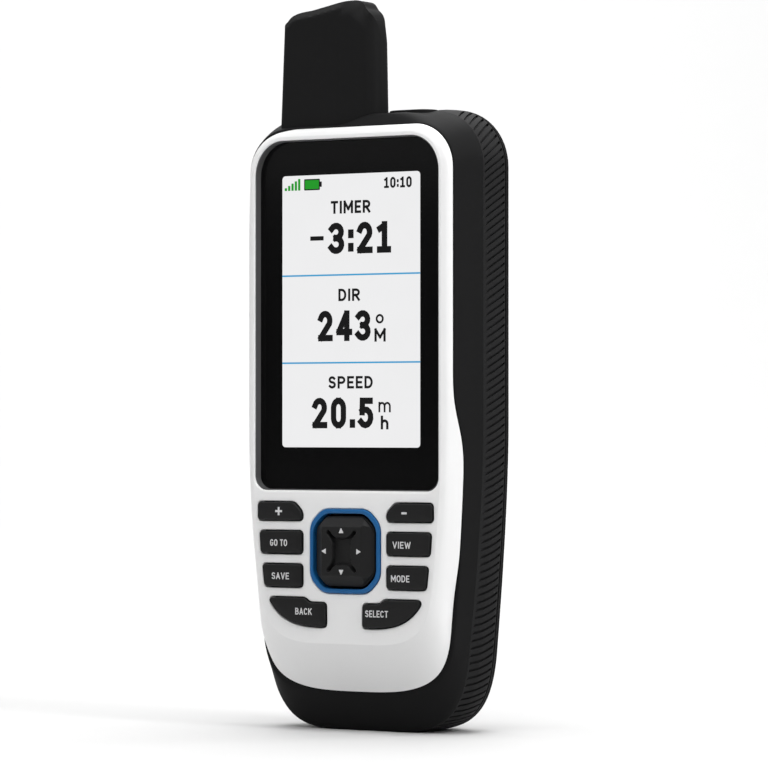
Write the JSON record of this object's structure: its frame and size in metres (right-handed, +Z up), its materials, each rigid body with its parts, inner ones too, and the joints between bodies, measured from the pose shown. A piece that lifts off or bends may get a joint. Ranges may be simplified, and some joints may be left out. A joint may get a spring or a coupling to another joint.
{
  "type": "handheld gps unit",
  "caption": "Rugged handheld navigation unit: tall screen in a white bezel, rubber keys round a rocker pad, ribbed side grips, stub antenna and a rear mounting spine.",
  "frame": {"origin": "bottom centre of the whole unit's box, on the flat patch it stands on", "axes": "+Z up towards the antenna, +Y from the screen to the back, +X to the right as seen from the front"},
  "size_m": [0.068, 0.044, 0.1769],
  "materials": {
    "white_plastic": "satin white moulded bezel",
    "black_plastic": "fine spark-eroded black",
    "inner_plastic": "plain moulded",
    "grip_rubber": "ribbed overmould",
    "key_rubber": "soft-touch silicone",
    "blue_trim": "satin blue",
    "window_glass": "clear window with a black printed border",
    "screen_panel": "lit screen",
    "sheet_steel": "stamped",
    "screw_steel": "zinc plated",
    "label_aluminium": "anodised, blank",
    "seal_rubber": "plain",
    "circuit_board": "green solder mask",
    "battery_wrap": "printed shrink wrap over the cells, about as heavy as aluminium",
    "antenna_ceramic": "fired ceramic"
  },
  "bodies": {
    "case": {"front_bezel": "white_plastic", "main_housing": "black_plastic", "rear_cover": "black_plastic", "antenna_housing": "black_plastic", "power_collar": "black_plastic", "mount_spine": "black_plastic", "battery_bracket": "inner_plastic", "beeper": "inner_plastic", "left_grip": "grip_rubber", "right_grip": "grip_rubber", "cap_anchor": "key_rubber", "rocker_ring": "blue_trim", "window_lens": "window_glass", "display_module": "screen_panel", "display_frame": "sheet_steel", "rf_shield": "sheet_steel", "power_switch": "sheet_steel", "usb_connector": "sheet_steel", "spine_screw_1": "screw_steel", "spine_screw_2": "screw_steel", "case_screw_1": "screw_steel", "case_screw_2": "screw_steel", "case_screw_3": "screw_steel", "case_screw_4": "screw_steel", "case_screw_5": "screw_steel", "case_screw_6": "screw_steel", "label_plate": "label_aluminium", "housing_seal": "seal_rubber", "window_gasket": "seal_rubber", "keypad_sheet": "seal_rubber", "breather_vent": "seal_rubber", "main_board": "circuit_board", "battery_pack": "battery_wrap", "antenna_element": "antenna_ceramic"},
    "zoom_in_key": {"zoom_in_key": "key_rubber"},
    "goto_key": {"goto_key": "key_rubber"},
    "save_key": {"save_key": "key_rubber"},
    "back_key": {"back_key": "key_rubber"},
    "zoom_out_key": {"zoom_out_key": "key_rubber"},
    "view_key": {"view_key": "key_rubber"},
    "mode_key": {"mode_key": "key_rubber"},
    "select_key": {"select_key": "key_rubber"},
    "rocker_pivot": {"rocker_pivot": "sheet_steel"},
    "rocker_key": {"rocker_key": "key_rubber"},
    "power_button": {"power_button": "key_rubber"},
    "usb_weather_cap": {"usb_weather_cap": "key_rubber"}
  },
  "joints": [
    {"name": "zoom_in_press", "type": "slide", "parent": "case", "child": "zoom_in_key", "axis": [0, 1, 0], "range_m": [0, 0.0008], "stiffness_N_per_m": 700, "springref_m": -0.0004},
    {"name": "goto_press", "type": "slide", "parent": "case", "child": "goto_key", "axis": [0, 1, 0], "range_m": [0, 0.0008], "stiffness_N_per_m": 700, "springref_m": -0.0004},
    {"name": "save_press", "type": "slide", "parent": "case", "child": "save_key", "axis": [0, 1, 0], "range_m": [0, 0.0008], "stiffness_N_per_m": 700, "springref_m": -0.0004},
    {"name": "back_press", "type": "slide", "parent": "case", "child": "back_key", "axis": [0, 1, 0], "range_m": [0, 0.0008], "stiffness_N_per_m": 700, "springref_m": -0.0004},
    {"name": "zoom_out_press", "type": "slide", "parent": "case", "child": "zoom_out_key", "axis": [0, 1, 0], "range_m": [0, 0.0008], "stiffness_N_per_m": 700, "springref_m": -0.0004},
    {"name": "view_press", "type": "slide", "parent": "case", "child": "view_key", "axis": [0, 1, 0], "range_m": [0, 0.0008], "stiffness_N_per_m": 700, "springref_m": -0.0004},
    {"name": "mode_press", "type": "slide", "parent": "case", "child": "mode_key", "axis": [0, 1, 0], "range_m": [0, 0.0008], "stiffness_N_per_m": 700, "springref_m": -0.0004},
    {"name": "select_press", "type": "slide", "parent": "case", "child": "select_key", "axis": [0, 1, 0], "range_m": [0, 0.0008], "stiffness_N_per_m": 700, "springref_m": -0.0004},
    {"name": "rocker_up_down", "type": "hinge", "parent": "case", "child": "rocker_pivot", "pos_m": [0, -0.017, 0.04365], "axis": [1, 0, 0], "range_deg": [-2.5, 2.5], "stiffness_Nm_per_rad": 0.6},
    {"name": "rocker_left_right", "type": "hinge", "parent": "rocker_pivot", "child": "rocker_key", "pos_m": [0, -0.017, 0.04365], "axis": [0, 0, 1], "range_deg": [-2.5, 2.5], "stiffness_Nm_per_rad": 0.6},
    {"name": "power_press", "type": "slide", "parent": "case", "child": "power_button", "axis": [0, 0, -1], "range_m": [0, 0.0006], "stiffness_N_per_m": 800, "springref_m": -0.0004},
    {"name": "usb_cap_swing", "type": "hinge", "parent": "case", "child": "usb_weather_cap", "pos_m": [-0.0099, 0.0144, 0.024], "axis": [0, 0, 1], "range_deg": [0, 100], "stiffness_Nm_per_rad": 0.004}
  ]
}
